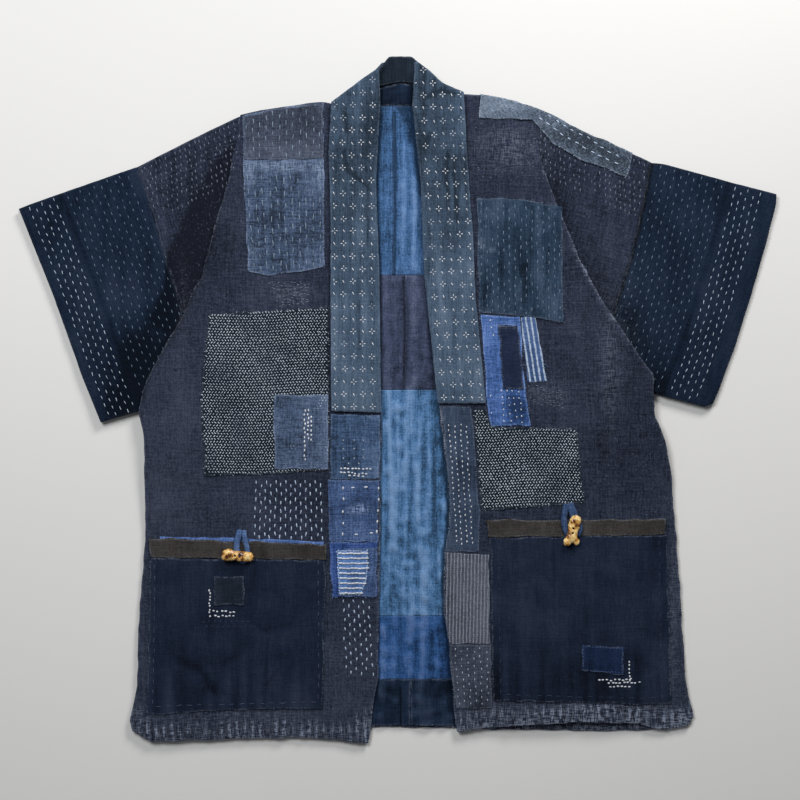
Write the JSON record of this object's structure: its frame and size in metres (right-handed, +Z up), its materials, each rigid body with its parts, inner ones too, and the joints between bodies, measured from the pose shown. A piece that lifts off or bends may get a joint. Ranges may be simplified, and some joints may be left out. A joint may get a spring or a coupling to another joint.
{
  "type": "patched boro jacket",
  "caption": "Short-sleeved patched cotton jacket with a long band collar, patch pockets and toggles, laid open and flat.",
  "frame": {"origin": "on the surface that the jacket lies on, under the middle of its overall length and width", "axes": "+X across the jacket to the right as seen from above, +Y towards the collar, +Z up from the surface"},
  "size_m": [0.884, 0.802, 0.0204],
  "materials": {
    "base_cotton": "dark grey-indigo quilted cotton, worn and slubby",
    "cuff_navy": "deep navy cotton with rows of white running stitches",
    "collar_cotton": "grey-teal cotton with small white crosses and dashes",
    "collar_inside": "very dark indigo cotton",
    "yoke_navy": "plain dark navy cotton",
    "lining_blue": "soft mid-indigo cotton, streaky fade",
    "lining_grey": "dark blue-grey cotton",
    "lining_pale": "soft pale indigo cotton, wrinkled along its length",
    "lining_mid": "mid-indigo cotton",
    "faded_blue": "faded slate-blue cotton",
    "slate_patch": "dark slate cotton with fine running stitches",
    "darned_grey": "dark cotton covered in small staggered white stitches",
    "indigo_patch": "mid-indigo cotton",
    "bright_blue": "bright indigo cotton",
    "striped_pale": "pale blue and white striped cotton",
    "worn_slate": "worn grey-blue cotton with white dashes",
    "teal_patch": "dark teal-blue cotton, puckered",
    "ink_patch": "near-black indigo cotton",
    "dotted_teal": "dark grey-teal cotton with dotted stitches",
    "striped_grey": "brown-grey cotton with fine stripes",
    "pocket_navy": "plain near-black navy cotton",
    "patch_ink_blue": "dark indigo cotton outlined in pale stitches",
    "binding_brown": "dark brown cotton binding",
    "loop_blue": "sewn strips of mid-blue cotton",
    "toggle_horn": "carved and polished amber horn, mottled brown",
    "sewing_thread": "off-white cotton thread of the running stitches"
  },
  "bodies": {
    "root": {"back_left": "base_cotton", "back_right": "base_cotton", "front_left": "base_cotton", "front_right": "base_cotton", "sleeve_left": "base_cotton", "sleeve_right": "base_cotton", "cuff_left": "cuff_navy", "cuff_right": "cuff_navy", "collar_left": "collar_cotton", "collar_right": "collar_cotton", "collar_back": "collar_inside", "neck_yoke": "yoke_navy", "hem_facing_left": "yoke_navy", "hem_facing_right": "yoke_navy", "lining_upper_left": "lining_blue", "lining_upper_right": "lining_blue", "lining_middle_left": "lining_grey", "lining_middle_right": "lining_grey", "lining_lower": "lining_pale", "lining_foot": "lining_mid", "shoulder_patch_left": "faded_blue", "small_patch_left": "faded_blue", "shoulder_top_left": "slate_patch", "edge_patch_right_3": "slate_patch", "checker_left": "darned_grey", "checker_right": "darned_grey", "edge_patch_left_1": "indigo_patch", "edge_patch_left_2": "indigo_patch", "edge_inset_left": "indigo_patch", "edge_patch_left_3": "bright_blue", "blue_patch_right": "bright_blue", "pocket_lip_left": "bright_blue", "striped_patch_left": "striped_pale", "striped_strip_right": "striped_pale", "shoulder_strip_right": "worn_slate", "chest_patch_right": "teal_patch", "blue_inset_right": "ink_patch", "pocket_patch_left": "ink_patch", "edge_patch_right_1": "dotted_teal", "edge_patch_right_2": "striped_grey", "pocket_left": "pocket_navy", "pocket_right": "pocket_navy", "pocket_patch_right": "patch_ink_blue", "pocket_band_left": "binding_brown", "pocket_band_right": "binding_brown", "loop_left": "loop_blue", "loop_right": "loop_blue", "toggle_left": "toggle_horn", "toggle_right": "toggle_horn"}
  },
  "joints": []
}
